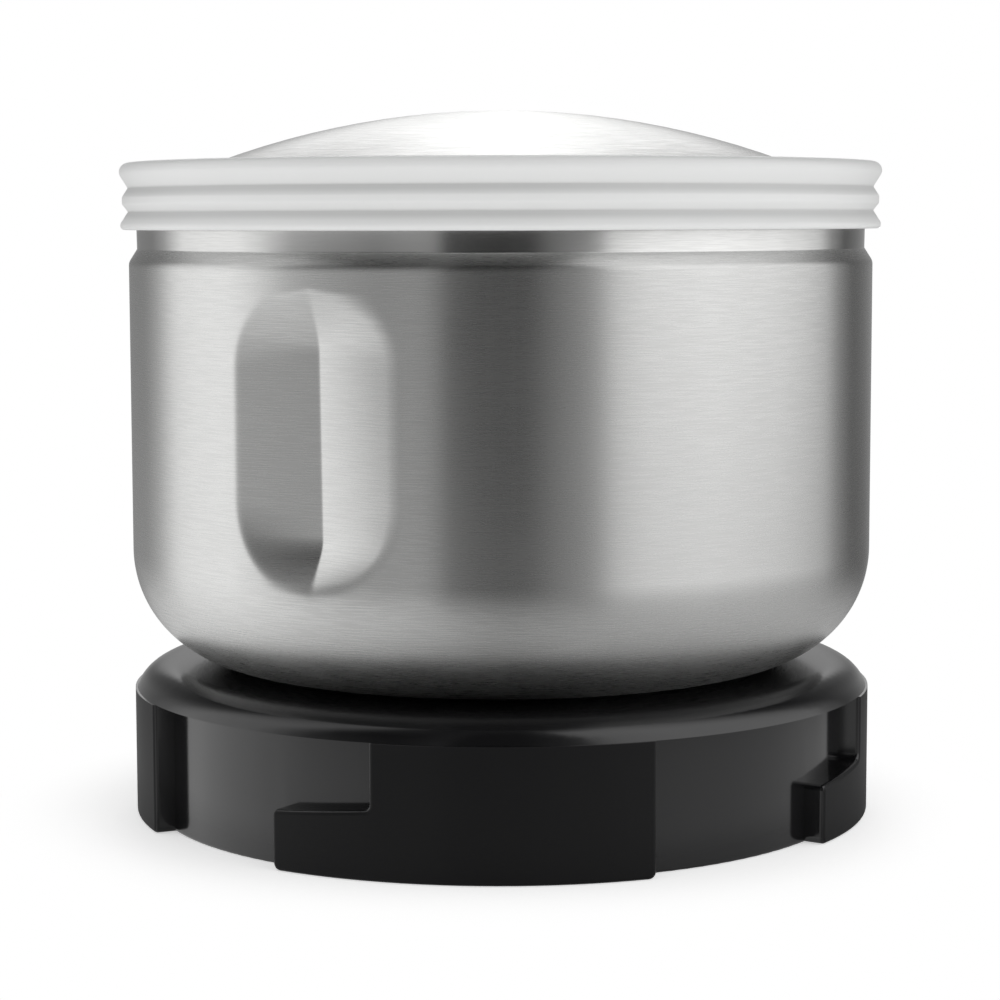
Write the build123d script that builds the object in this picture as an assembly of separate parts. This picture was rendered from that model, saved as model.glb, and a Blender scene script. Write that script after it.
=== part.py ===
from build123d import *
import math
import os

# Bowl, collar and lid of a spice grinder, in millimetres.
# Z is the spindle axis, z = 0 is the plane that the collar stands on.
# Bearings round the axis are given in degrees from -Y, positive towards +X.

# Drawn steel bowl
SHEET = 0.8
BOWL_RADIUS = 43.0
BOWL_FLOOR_Z = 17.5
BOWL_CORNER = 13.4
SHOULDER_Z = 63.9
NECK_Z = 65.4
NECK_FOOT_RADIUS = 42.05
NECK_RIM_RADIUS = 42.17
RIM_Z = 72.9

# Thumb grips pressed into the wall, one on each side
GRIP_BEARINGS = (-25.75, 154.25)
GRIP_MID_Z = 45.7
GRIP_HALF_HEIGHT = 15.8
GRIP_END_HEIGHT = 11.0
GRIP_FACE_SLOPE = 17.25
GRIP_CREASE_RADIUS = 38.98
GRIP_CREASE_LEAN = -3.25
GRIP_RUN_OUT = 0.06
GRIP_OUTER_ROUND = 1.6
GRIP_INNER_ROUND = 1.4
GRIP_OUTER_CREASE_ROUND = 0.6
GRIP_INNER_CREASE_ROUND = 1.0

# Moulded collar with its four bayonet lugs
COLLAR_RADIUS = 43.0
COLLAR_WALL_RADIUS = 40.6
COLLAR_WALL = 2.2
FLANGE_Z = 14.7
FLANGE_TOP_Z = 17.5
FLANGE_ROUND = 4.8
FLANGE_ROUND_Z = 13.4
DECK_UNDER_Z = 14.2
DECK_Z = 16.7
DECK_SEAT_RADIUS = 31.5
LEDGE_Z = 7.1
LEDGE_SLOPE = 4.9
LUG_FOOT_BEARING = -34.6
LUG_STEM_BEARING = -18.9
LUG_END_BEARINGS = (22.2, 25.0, 22.2, 25.0)
LUG_ROUND = 0.5
LUG_FOOT_CORNER = 0.8
LEDGE_CORNER = 0.6
RIB_Z = 8.5
RIB_WIDTH = 1.6
HUB_RING_RADIUS = 16.0
HUB_RING_WALL = 1.6
RIB_COUNT = 6

# Screws that hold the collar to bosses welded under the bowl
SCREW_COUNT = 3
SCREW_CIRCLE = 21.0
SCREW_RADIUS = 1.5
SCREW_HEAD_RADIUS = 2.8
SCREW_HEAD_HEIGHT = 2.0
SCREW_SEAT_Z = 11.7
BOSS_RADIUS = 3.2
BOSS_LENGTH = 2.1
POST_RADIUS = 4.6

# Bearing housing, clamped through the bowl floor and the collar deck
TUBE_RADIUS = 8.5
TUBE_FIT = 0.2
HOUSING_LOW_Z = 9.9
HOUSING_TOP_Z = 23.6
HOUSING_FLANGE_RADIUS = 14.0
GASKET = 0.8
BUSH_RADIUS = 5.5
BUSH_LENGTH = 4.5
LAND_RADIUS = 4.6
LAND_LENGTH = 2.2
CLAMP_NUT_FLATS = 24.0
CLAMP_NUT_HEIGHT = 3.6

# Spindle, blade and coupling
SHAFT_RADIUS = 4.0
RUNNING_FIT = 0.04
SHAFT_LOW_Z = 2.2
SHAFT_STEP_Z = 23.8
SEAT_RADIUS = 3.2
SEAT_FLAT = 2.6
THREAD_RADIUS = 3.0
SHAFT_TOP_Z = 31.5
SPACER_RADIUS = 7.0
SPACER = 0.7
BLADE = 1.5
BLADE_REACH = 29.0
BLADE_HUB_RADIUS = 7.5
BLADE_PLATE = 9.0
BLADE_WIDTHS = (11.5, 11.0, 8.0)
BLADE_TWIST = 24.0
BLADE_LIFT = 4.0
LOCK_WASHER = 1.0
LOCK_WASHER_RADIUS = 5.2
ACORN_FLATS = 10.0
ACORN_HEX_HEIGHT = 4.2
ACORN_DOME_RADIUS = 4.6
CLIP_Z = 8.6
CLIP = 0.6
CLIP_RADIUS = 6.0
CLIP_GROOVE_RADIUS = 3.3
THRUST_WASHER = 0.5
DOG_LOW_Z = 1.5
DOG_TOP_Z = 8.1
DOG_RADIUS = 9.5
DOG_ROOT_RADIUS = 6.8
DOG_TEETH = 6
INSERT_RADIUS = 5.0

# Push-on lid: a ribbed ring moulded round a domed disc
RING_LOW_Z = 67.6
RING_TOP_Z = 75.2
RING_LIFT = 0.1
RING_BORE = 42.4
RING_PLUG_RADIUS = 40.6
RING_PLUG_WALL = 1.4
RING_PLUG_Z = 70.6
RING_WEB_RADIUS = 33.5
RING_WEB_Z = 71.8
RIB_CRESTS = (43.88, 43.7, 44.0)
RIB_CREST_Z = (68.6, 71.15, 74.0)
RIB_FEET = (43.45, 43.2, 43.15, 42.9)
GROOVE_Z = (69.75, 72.35)
DOME_TOP_Z = 81.2
DOME_CURVE = 94.4
DOME_RADIUS = 38.0
DOME_SHEET = 0.8


# Helpers

def turned(*lines):
    """Solid of revolution about Z of the closed outline that the lines make in the plane of radius and height."""
    outline = Curve() + [*lines]
    return revolve(make_face(Plane.XZ * outline), Axis.Z)


def disc(radius, low, high):
    """Solid cylinder on the axis between two heights."""
    cylinder = Cylinder(radius, high - low, align=(Align.CENTER, Align.CENTER, Align.MIN))
    return Pos(0, 0, low) * cylinder


def ring(inner, outer, low, high):
    """Plain ring on the axis between two heights."""
    return disc(outer, low, high) - disc(inner, low, high)


def sector(inner, outer, low, high, start, end):
    """Part of a ring between two bearings."""
    section = Plane.XZ * Pos((inner + outer) / 2, (low + high) / 2) * Rectangle(outer - inner, high - low)
    return Rot(0, 0, start - 90) * revolve(section, Axis.Z, revolution_arc=end - start)


def hexagon(flats, low, high):
    """Hexagonal prism on the axis, by its width across flats."""
    outline = RegularPolygon(flats / 2, 6, major_radius=False)
    return Pos(0, 0, low) * extrude(outline, high - low)


def round_the_axis(shape, count, radius=0.0, start=0.0):
    """Copies of a shape on a circle about the axis."""
    return [Rot(0, 0, start + step * 360 / count) * Pos(radius, 0, 0) * shape for step in range(count)]


# Bowl

def bowl_body(inset):
    """The drawn form without its grips; inset moves every wall inwards."""
    wall = BOWL_RADIUS - inset
    floor = BOWL_FLOOR_Z + inset
    neck_foot = NECK_FOOT_RADIUS - inset
    neck_rim = NECK_RIM_RADIUS - inset
    corner = BOWL_CORNER - inset
    side = FilletPolyline(
        (0, floor),
        (wall, floor),
        (wall, SHOULDER_Z),
        (neck_foot, NECK_Z),
        (neck_rim, RIM_Z),
        radius=(corner, 1.2, 0.5),
    )
    closing = Polyline((neck_rim, RIM_Z), (0, RIM_Z), (0, floor))
    return turned(side, closing)


def bearing_point(radius, bearing, height=0.0):
    """Point at a radius and bearing about the axis."""
    angle = math.radians(bearing)
    return Vector(radius * math.sin(angle), -radius * math.cos(angle), height)


def grip_side(bearing, side, inset):
    """Everything outside one wall of a grip: a straight wall whose ends sweep out in quarter ellipses."""
    slope = math.radians(GRIP_FACE_SLOPE)
    rise = (BOWL_RADIUS - GRIP_CREASE_RADIUS) * math.cos(slope) + GRIP_RUN_OUT
    half = GRIP_HALF_HEIGHT + inset
    straight = GRIP_HALF_HEIGHT - GRIP_END_HEIGHT
    beyond = rise + BOWL_RADIUS / 2
    outline = Curve() + [
        Line((0, -straight), (0, straight)),
        EllipticalCenterArc((rise, straight), rise, half - straight, 90, arc_size=90),
        Polyline((rise, half), (beyond, half), (beyond, -half), (rise, -half)),
        EllipticalCenterArc((rise, -straight), rise, half - straight, 180, arc_size=90),
    ]
    facing = bearing_point(1, bearing + side * GRIP_FACE_SLOPE)
    crease = bearing_point(GRIP_CREASE_RADIUS, bearing + GRIP_CREASE_LEAN, GRIP_MID_Z)
    wall = Plane(origin=crease - facing * inset, x_dir=facing, z_dir=(facing.Y, -facing.X, 0))
    return extrude(make_face(wall * outline), BOWL_RADIUS / 2, both=True)


def lies_on_wall(edge, radius):
    """True for an edge that lies on the upright wall and isn't a circle round the bowl."""
    points = [edge @ part for part in (0, 0.25, 0.5, 0.75, 1)]
    heights = [point.Z for point in points]
    on_wall = all(abs(math.hypot(point.X, point.Y) - radius) < 0.02 for point in points)
    inside = min(heights) > BOWL_FLOOR_Z + BOWL_CORNER - 3 and max(heights) < SHOULDER_Z - 1
    return on_wall and inside and max(heights) - min(heights) > 1


def lies_on_crease(edge, bearing, inset):
    """True for an edge in the plane where the two walls of a grip meet."""
    crease = bearing_point(GRIP_CREASE_RADIUS - inset, bearing + GRIP_CREASE_LEAN)
    outwards = bearing_point(1, bearing)
    offsets = [edge @ part - crease for part in (0.2, 0.5, 0.8)]
    in_plane = all(abs(offset.X * outwards.Y - offset.Y * outwards.X) < 0.05 for offset in offsets)
    near_side = all((offset + crease).dot(outwards) > 0 for offset in offsets)
    rise = abs((edge @ 1).Z - (edge @ 0).Z)
    return in_plane and near_side and 1 < rise < 2 * GRIP_HALF_HEIGHT


def bowl_form(inset, crease_round, edge_round):
    """The drawn form with a V-shaped hollow at each grip, its crease and then its outline rounded."""
    form = bowl_body(inset)
    for bearing in GRIP_BEARINGS:
        form -= grip_side(bearing, 1, inset) & grip_side(bearing, -1, inset)
    creases = [
        edge for edge in form.edges() if any(lies_on_crease(edge, bearing, inset) for bearing in GRIP_BEARINGS)
    ]
    form = fillet(creases, crease_round)
    outlines = [edge for edge in form.edges() if lies_on_wall(edge, BOWL_RADIUS - inset)]
    return fillet(outlines, edge_round)


def bowl_shell():
    """Drawn bowl of even sheet, open at the rim, with the hole for the bearing housing."""
    shell = bowl_form(0, GRIP_OUTER_CREASE_ROUND, GRIP_OUTER_ROUND)
    shell -= bowl_form(SHEET, GRIP_INNER_CREASE_ROUND, GRIP_INNER_ROUND)
    shell -= disc(TUBE_RADIUS + TUBE_FIT, BOWL_FLOOR_Z - 1, BOWL_FLOOR_Z + 2)
    rim = [edge for edge in shell.edges() if edge.center().Z > RIM_Z - 0.01 and edge.geom_type == GeomType.CIRCLE]
    return fillet(rim, SHEET * 0.4)


# Collar

def collar_section():
    """Wall, rounded flange and deck, turned in one piece round the hole for the housing."""
    hole = TUBE_RADIUS + TUBE_FIT
    inner = COLLAR_WALL_RADIUS - COLLAR_WALL
    round_height = FLANGE_TOP_Z - FLANGE_ROUND_Z
    lip_angle = math.degrees(math.asin((FLANGE_Z - FLANGE_ROUND_Z) / round_height))
    edge = EllipticalCenterArc(
        (COLLAR_RADIUS - FLANGE_ROUND, FLANGE_ROUND_Z), FLANGE_ROUND, round_height, lip_angle, arc_size=90 - lip_angle
    )
    below = FilletPolyline(
        (hole, FLANGE_TOP_Z),
        (hole, DECK_UNDER_Z),
        (inner, DECK_UNDER_Z),
        (inner, 0),
        (COLLAR_WALL_RADIUS, 0),
        (COLLAR_WALL_RADIUS, FLANGE_Z),
        edge @ 0,
        radius=(0, 1.5, 0.4, 0.4, 0),
    )
    above = Polyline(
        (COLLAR_RADIUS - FLANGE_ROUND, FLANGE_TOP_Z),
        (DECK_SEAT_RADIUS, FLANGE_TOP_Z),
        (DECK_SEAT_RADIUS, DECK_Z),
        (HOUSING_FLANGE_RADIUS, DECK_Z),
        (HOUSING_FLANGE_RADIUS, FLANGE_TOP_Z),
        (hole, FLANGE_TOP_Z),
    )
    return turned(below, edge, above)


def lug(quarter):
    """L-shaped bayonet lug: a long foot, and a shorter stem that leaves a rising ledge over the foot's end."""
    middle = quarter * 90
    start = middle + LUG_FOOT_BEARING
    stem_start = middle + LUG_STEM_BEARING
    end = middle + LUG_END_BEARINGS[quarter]
    inner = COLLAR_WALL_RADIUS - COLLAR_WALL / 2
    ledge = Rot(0, 0, (start + stem_start) / 2) * Pos(0, -COLLAR_RADIUS, LEDGE_Z) * Rot(0, -LEDGE_SLOPE, 0)
    above_ledge = ledge * Box(COLLAR_RADIUS, COLLAR_RADIUS, FLANGE_Z, align=(Align.CENTER, Align.CENTER, Align.MIN))
    whole = sector(inner, COLLAR_RADIUS, 0, FLANGE_Z, start, end) - above_ledge
    whole += sector(inner, COLLAR_RADIUS, 0, FLANGE_Z, stem_start, end)
    whole = fillet([edge for edge in whole.edges() if runs_outwards(edge, 0, 1)], LUG_FOOT_CORNER)
    whole = fillet([edge for edge in whole.edges() if runs_outwards(edge, 4, FLANGE_Z - 4)], LEDGE_CORNER)
    return fillet([edge for edge in whole.edges() if outside_lug(edge)], LUG_ROUND)


def runs_outwards(edge, low, high):
    """True for an edge across the thickness of a lug, between two heights."""
    start, end = edge @ 0, edge @ 1
    across = abs(math.hypot(start.X, start.Y) - math.hypot(end.X, end.Y)) > COLLAR_WALL / 2
    return across and all(low - 0.1 < point.Z < high for point in (start, end))


def outside_lug(edge):
    """True for an edge of a lug on its outer face, below the flange."""
    points = [edge @ part for part in (0, 0.5, 1)]
    outer = all(abs(math.hypot(point.X, point.Y) - COLLAR_RADIUS) < 0.01 for point in points)
    return outer and min(point.Z for point in points) < FLANGE_Z - 0.1


def deck_ribs():
    """Radial ribs under the deck, and the ring round the clamping nut that they start from."""
    inner = HUB_RING_RADIUS + HUB_RING_WALL / 2
    outer = COLLAR_WALL_RADIUS - COLLAR_WALL / 2
    height = DECK_UNDER_Z - RIB_Z
    rib = Pos(0, 0, RIB_Z) * Box(outer - inner, RIB_WIDTH, height, align=(Align.MIN, Align.CENTER, Align.MIN))
    hub_ring = ring(HUB_RING_RADIUS, HUB_RING_RADIUS + HUB_RING_WALL, RIB_Z, DECK_UNDER_Z)
    return [hub_ring, *round_the_axis(rib, RIB_COUNT, inner, 180 / RIB_COUNT)]


def base_collar():
    """Moulded collar: it carries the bowl, and its lugs lock into the motor base."""
    collar = collar_section() + [lug(quarter) for quarter in range(4)] + deck_ribs()
    collar += round_the_axis(disc(POST_RADIUS, SCREW_SEAT_Z, DECK_UNDER_Z + 1), SCREW_COUNT, SCREW_CIRCLE)
    pocket = disc(BOSS_RADIUS + 0.2, BOWL_FLOOR_Z - BOSS_LENGTH, FLANGE_TOP_Z)
    pocket += disc(SCREW_RADIUS + 0.2, SCREW_SEAT_Z - 1, FLANGE_TOP_Z)
    return collar - round_the_axis(pocket, SCREW_COUNT, SCREW_CIRCLE)


def collar_screws():
    """Pan-head screws from under the collar into the welded bosses."""
    head = disc(SCREW_HEAD_RADIUS, SCREW_SEAT_Z - SCREW_HEAD_HEIGHT, SCREW_SEAT_Z)
    head = fillet(head.edges().group_by(Axis.Z)[0], SCREW_HEAD_HEIGHT * 0.45)
    slot_depth = SCREW_HEAD_HEIGHT * 0.55
    arm = Pos(0, 0, SCREW_SEAT_Z - SCREW_HEAD_HEIGHT) * Box(SCREW_HEAD_RADIUS * 1.2, 0.6, 2 * slot_depth)
    screw = head - arm - Rot(0, 0, 90) * arm + disc(SCREW_RADIUS, SCREW_SEAT_Z, BOWL_FLOOR_Z)
    return Compound(children=round_the_axis(screw, SCREW_COUNT, SCREW_CIRCLE))


def weld_bosses():
    """Threaded bosses welded under the bowl."""
    boss = ring(SCREW_RADIUS, BOSS_RADIUS, BOWL_FLOOR_Z - BOSS_LENGTH, BOWL_FLOOR_Z)
    return Compound(children=round_the_axis(boss, SCREW_COUNT, SCREW_CIRCLE))


def base_gasket():
    """Flat seal in the deck's seat under the bowl."""
    outer = BOWL_RADIUS - BOWL_CORNER - 0.6
    return ring(outer - 3.4, outer, DECK_Z, BOWL_FLOOR_Z)


# Bearing housing

def bearing_housing():
    """Turned housing: a threaded tube under a low domed flange, bored from both ends to a middle land."""
    under_flange = BOWL_FLOOR_Z + SHEET + GASKET
    land_low = HOUSING_LOW_Z + BUSH_LENGTH
    land_top = land_low + LAND_LENGTH
    outline = FilletPolyline(
        (BUSH_RADIUS, HOUSING_LOW_Z),
        (TUBE_RADIUS, HOUSING_LOW_Z),
        (TUBE_RADIUS, under_flange),
        (HOUSING_FLANGE_RADIUS, under_flange),
        (HOUSING_FLANGE_RADIUS, under_flange + 1.4),
        (BUSH_RADIUS + 4.4, under_flange + 2.4),
        (BUSH_RADIUS + 1.9, HOUSING_TOP_Z),
        (BUSH_RADIUS, HOUSING_TOP_Z),
        (BUSH_RADIUS, land_top),
        (LAND_RADIUS, land_top),
        (LAND_RADIUS, land_low),
        (BUSH_RADIUS, land_low),
        (BUSH_RADIUS, HOUSING_LOW_Z),
        radius=(0, 0.4, 0, 0, 0.6, 1.2, 0.5, 0, 0, 0, 0, 0),
        close=True,
    )
    return turned(outline)


def housing_gasket():
    """Seal between the housing's flange and the bowl floor."""
    floor = BOWL_FLOOR_Z + SHEET
    return ring(TUBE_RADIUS, HOUSING_FLANGE_RADIUS - 0.8, floor, floor + GASKET)


def clamp_nut():
    """Hexagonal nut that clamps the housing, bowl and collar together."""
    low = DECK_UNDER_Z - CLAMP_NUT_HEIGHT
    corner = CLAMP_NUT_FLATS / math.sqrt(3)
    turned_hex = chamfer(disc(corner, low, DECK_UNDER_Z).edges().group_by(Axis.Z)[0], corner - CLAMP_NUT_FLATS / 2)
    return (hexagon(CLAMP_NUT_FLATS, low, DECK_UNDER_Z) & turned_hex) - disc(TUBE_RADIUS, low, DECK_UNDER_Z)


def bush(low):
    """Sintered bush with a running fit on the spindle."""
    return ring(SHAFT_RADIUS + RUNNING_FIT, BUSH_RADIUS, low, low + BUSH_LENGTH)


def shaft_seal():
    """Rubber seal over the upper bush, with a dished top."""
    low = HOUSING_LOW_Z + 2 * BUSH_LENGTH + LAND_LENGTH
    inner = SHAFT_RADIUS + RUNNING_FIT
    outline = Polyline(
        (inner, low), (BUSH_RADIUS, low), (BUSH_RADIUS, HOUSING_TOP_Z),
        (BUSH_RADIUS - 0.4, HOUSING_TOP_Z), (inner + 0.5, HOUSING_TOP_Z - 0.7),
        (inner, HOUSING_TOP_Z - 0.4), (inner, low),
    )
    return turned(outline)


# Spindle and what turns with it

def flatted(radius, low, high):
    """Round seat with two flats, which keys the blade."""
    return disc(radius, low, high) & Pos(0, 0, low) * Box(
        2 * SEAT_FLAT, 3 * radius, high - low, align=(Align.CENTER, Align.CENTER, Align.MIN)
    )


def drive_shaft():
    """Spindle: a threaded top, a keyed seat for the blade, a ground journal and a groove for the clip."""
    blade_top = SHAFT_STEP_Z + SPACER + BLADE
    shaft = disc(SHAFT_RADIUS, SHAFT_LOW_Z, SHAFT_STEP_Z)
    shaft -= ring(CLIP_GROOVE_RADIUS, SHAFT_RADIUS, CLIP_Z, CLIP_Z + CLIP)
    shaft += flatted(SEAT_RADIUS, SHAFT_STEP_Z, blade_top)
    shaft += disc(THREAD_RADIUS, blade_top, SHAFT_TOP_Z)
    ends = shaft.edges().group_by(Axis.Z)
    return chamfer([*ends[0], *ends[-1]], 0.4)


def blade_spacer():
    """Keyed washer between the spindle's shoulder and the blade."""
    low = SHAFT_STEP_Z
    spacer = disc(SPACER_RADIUS, low, low + SPACER)
    spacer = chamfer(spacer.edges().group_by(Axis.Z)[-1], 0.25)
    return spacer - flatted(SEAT_RADIUS, low, low + SPACER)


def blade_section(reach, width, lift, twist):
    """Cross-section of a blade arm at a reach from the axis: flat, with one ground edge."""
    half = BLADE / 2
    outline = Polyline(
        (-width / 2, -half), (width / 2, -half * 0.8), (width / 2 - BLADE * 1.6, half), (-width / 2, half), close=True
    )
    across = Plane(origin=(reach, 0, lift), x_dir=(0, 1, 0), z_dir=(1, 0, 0))
    return across * Rot(0, 0, twist) * make_face(outline)


def blade_arm(lift_end, twist_end):
    """One arm: level at the hub, then bent and twisted towards its narrower tip."""
    middle = SHAFT_STEP_Z + SPACER + BLADE / 2
    reaches = (BLADE_PLATE, (BLADE_PLATE + BLADE_REACH) / 2, BLADE_REACH)
    bends = (0, 0.35, 1)
    sections = [
        blade_section(reach, width, middle + lift_end * bend, twist_end * bend)
        for reach, width, bend in zip(reaches, BLADE_WIDTHS, bends)
    ]
    return loft(sections)


def blade():
    """Two-armed blade: one arm bent up and the other down, both with the same sense of twist."""
    low = SHAFT_STEP_Z + SPACER
    plate = Box(2 * BLADE_PLATE, BLADE_WIDTHS[0], BLADE, align=(Align.CENTER, Align.CENTER, Align.MIN))
    whole = disc(BLADE_HUB_RADIUS, low, low + BLADE) + Pos(0, 0, low) * plate
    whole += blade_arm(BLADE_LIFT, BLADE_TWIST)
    whole += Rot(0, 0, 180) * blade_arm(-BLADE_LIFT * 0.6, BLADE_TWIST * 0.5)
    beyond_reach = ring(BLADE_REACH - 0.4, BLADE_REACH + 10, BOWL_FLOOR_Z, RIM_Z)
    return whole - beyond_reach - flatted(SEAT_RADIUS, low, low + BLADE)


def lock_washer():
    """Plain washer under the acorn nut."""
    low = SHAFT_STEP_Z + SPACER + BLADE
    return ring(THREAD_RADIUS, LOCK_WASHER_RADIUS, low, low + LOCK_WASHER)


def acorn_nut():
    """Domed nut on the spindle's thread, blind above it."""
    low = SHAFT_STEP_Z + SPACER + BLADE + LOCK_WASHER
    shoulder = low + ACORN_HEX_HEIGHT
    corner = ACORN_FLATS / math.sqrt(3)
    turned_hex = chamfer(disc(corner, low, shoulder).edges().group_by(Axis.Z)[-1], corner - ACORN_DOME_RADIUS - 0.1)
    dome = Pos(0, 0, shoulder) * Sphere(ACORN_DOME_RADIUS) & disc(corner, shoulder - 1, shoulder + corner)
    return (hexagon(ACORN_FLATS, low, shoulder) & turned_hex) + dome - disc(THREAD_RADIUS, low, SHAFT_TOP_Z)


def thrust_washer():
    """Washer between the lower bush and the clip."""
    low = CLIP_Z + CLIP
    return ring(SHAFT_RADIUS, CLIP_RADIUS + 0.6, low, low + THRUST_WASHER)


def retaining_clip():
    """Open spring clip in the spindle's groove."""
    clip = ring(CLIP_GROOVE_RADIUS, CLIP_RADIUS, CLIP_Z, CLIP_Z + CLIP)
    mouth = Pos(CLIP_RADIUS, 0, CLIP_Z) * Box(CLIP_RADIUS * 2, CLIP_GROOVE_RADIUS * 1.5, 3 * CLIP)
    return clip - mouth


def drive_dog():
    """Toothed coupling that the motor's socket drives, moulded round its insert."""
    tooth_angle = 360 / DOG_TEETH
    body = disc(DOG_ROOT_RADIUS, DOG_LOW_Z, DOG_TOP_Z)
    flange = disc(DOG_RADIUS + 0.8, DOG_TOP_Z - 1.4, DOG_TOP_Z)
    tooth = sector(
        DOG_ROOT_RADIUS - 1, DOG_RADIUS, DOG_LOW_Z, DOG_TOP_Z - 0.5, -tooth_angle * 0.24, tooth_angle * 0.24
    )
    tips = [edge for edge in tooth.edges() if edge.center().Z < DOG_LOW_Z + 0.01
            and math.hypot(edge.center().X, edge.center().Y) > DOG_ROOT_RADIUS]
    tooth = chamfer(tips, 0.7)
    dog = body + flange + round_the_axis(tooth, DOG_TEETH)
    return dog - disc(INSERT_RADIUS, DOG_LOW_Z, DOG_TOP_Z)


def dog_insert():
    """Brass insert that screws onto the spindle."""
    return ring(SHAFT_RADIUS, INSERT_RADIUS, DOG_LOW_Z, DOG_TOP_Z)


# Lid

def dome_height(radius, sheet=0.0):
    """Height of the dome's outer face, or of its inner face for a sheet."""
    centre = DOME_TOP_Z - DOME_CURVE
    return centre + math.sqrt((DOME_CURVE - sheet) ** 2 - radius**2)


def lid_dome():
    """Shallow spherical cap of steel sheet."""
    half = DOME_RADIUS / 2
    inner_edge = DOME_RADIUS * (1 - DOME_SHEET / DOME_CURVE)
    outer_arc = ThreePointArc(
        (0, DOME_TOP_Z), (half, dome_height(half)), (DOME_RADIUS, dome_height(DOME_RADIUS))
    )
    inner_arc = ThreePointArc(
        (inner_edge, dome_height(inner_edge, DOME_SHEET)), (half, dome_height(half, DOME_SHEET)),
        (0, DOME_TOP_Z - DOME_SHEET),
    )
    return turned(outer_arc, Line(outer_arc @ 1, inner_arc @ 0), inner_arc, Line(inner_arc @ 1, outer_arc @ 0))


def lid_ring():
    """Ribbed ring: it slips over the bowl's neck, plugs the rim and grips the dome's edge."""
    under_web = RIM_Z + RING_LIFT
    plug_inner = RING_PLUG_RADIUS - RING_PLUG_WALL
    ribs = [
        ThreePointArc((RIB_FEET[0], RING_LOW_Z), (RIB_CRESTS[0], RIB_CREST_Z[0]), (RIB_FEET[1], GROOVE_Z[0])),
        ThreePointArc((RIB_FEET[1], GROOVE_Z[0]), (RIB_CRESTS[1], RIB_CREST_Z[1]), (RIB_FEET[2], GROOVE_Z[1])),
        ThreePointArc((RIB_FEET[2], GROOVE_Z[1]), (RIB_CRESTS[2], RIB_CREST_Z[2]), (RIB_FEET[3], RING_TOP_Z)),
    ]
    inside = FilletPolyline(
        (RIB_FEET[3], RING_TOP_Z),
        (RING_WEB_RADIUS, RING_TOP_Z),
        (RING_WEB_RADIUS + 1.5, RING_WEB_Z + 0.8),
        (plug_inner, RING_WEB_Z),
        (plug_inner, RING_PLUG_Z),
        (RING_PLUG_RADIUS - 0.3, RING_PLUG_Z),
        (RING_PLUG_RADIUS, under_web),
        (RING_BORE, under_web),
        (RING_BORE, RING_LOW_Z + 0.3),
        (RING_BORE + 0.3, RING_LOW_Z),
        (RIB_FEET[0], RING_LOW_Z),
        radius=(0, 0, 0, 0, 0, 0, 0, 0, 0),
    )
    return turned(*ribs, inside) - lid_dome()


NODES = {
    "bowl_shell": bowl_shell,
    "base_collar": base_collar,
    "collar_screws": collar_screws,
    "weld_bosses": weld_bosses,
    "base_gasket": base_gasket,
    "bearing_housing": bearing_housing,
    "housing_gasket": housing_gasket,
    "clamp_nut": clamp_nut,
    "lower_bush": lambda: bush(HOUSING_LOW_Z),
    "upper_bush": lambda: bush(HOUSING_LOW_Z + BUSH_LENGTH + LAND_LENGTH),
    "shaft_seal": shaft_seal,
    "drive_shaft": drive_shaft,
    "blade_spacer": blade_spacer,
    "blade": blade,
    "lock_washer": lock_washer,
    "acorn_nut": acorn_nut,
    "thrust_washer": thrust_washer,
    "retaining_clip": retaining_clip,
    "drive_dog": drive_dog,
    "dog_insert": dog_insert,
    "lid_ring": lid_ring,
    "lid_dome": lid_dome,
}


if __name__ == "__main__":
    os.makedirs("parts", exist_ok=True)
    for node, build in NODES.items():
        export_step(build(), f"parts/{node}.step")
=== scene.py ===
"""Finishes and studio of a grinder bowl with its bayonet collar and storage lid.

The file is laid out as a Blender add-on and is run as a script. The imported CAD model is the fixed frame:
its parts keep their shapes and places, and this file gives them their finishes, their finest detail and light.
Lengths are in millimetres where a comment or a docstring says so, and in metres otherwise.
"""

import math

import bpy
import numpy as np
from bpy.props import FloatProperty, FloatVectorProperty, IntProperty, PointerProperty
from mathutils import Matrix


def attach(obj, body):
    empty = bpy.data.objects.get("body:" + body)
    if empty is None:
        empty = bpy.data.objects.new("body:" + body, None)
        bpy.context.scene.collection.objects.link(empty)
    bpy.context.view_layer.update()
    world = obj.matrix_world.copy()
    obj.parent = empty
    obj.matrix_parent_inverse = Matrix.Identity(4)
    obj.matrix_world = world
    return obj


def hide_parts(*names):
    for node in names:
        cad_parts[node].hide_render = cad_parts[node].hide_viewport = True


bl_info = {
    "name": "Grinder Bowl Finishes",
    "version": (1, 0, 0),
    "blender": (4, 5, 0),
    "location": "View3D > Sidebar > Grinder Bowl",
    "description": "Brushed steel, moulded plastic and studio light for a grinder bowl with its collar and lid",
    "category": "Object",
}

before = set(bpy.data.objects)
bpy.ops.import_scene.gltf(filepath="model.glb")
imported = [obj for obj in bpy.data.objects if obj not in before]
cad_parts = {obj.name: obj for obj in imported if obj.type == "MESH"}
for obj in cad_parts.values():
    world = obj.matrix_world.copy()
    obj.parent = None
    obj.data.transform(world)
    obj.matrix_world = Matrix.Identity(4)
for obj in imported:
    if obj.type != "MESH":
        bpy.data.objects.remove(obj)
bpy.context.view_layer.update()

MM = 0.001

# Places on the model that the finishes follow
NECK_FOOT = 65.4 * MM  # height
GRIP_FLOOR = 40.4 * MM  # radius at the deepest point of the grips
RING_VALLEYS = (69.65 * MM, 72.35 * MM)  # heights
LUG_FACES = (42.78 * MM, 42.95 * MM)  # radii between which the lugs' faces begin
FLANGE_FOOT = (14.75 * MM, 14.6 * MM)  # heights between which the lugs' faces begin
COLLAR_TOP = (15.6 * MM, 16.8 * MM)  # heights between which the collar's top begins


# Sizes and colours that a user would change


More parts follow.
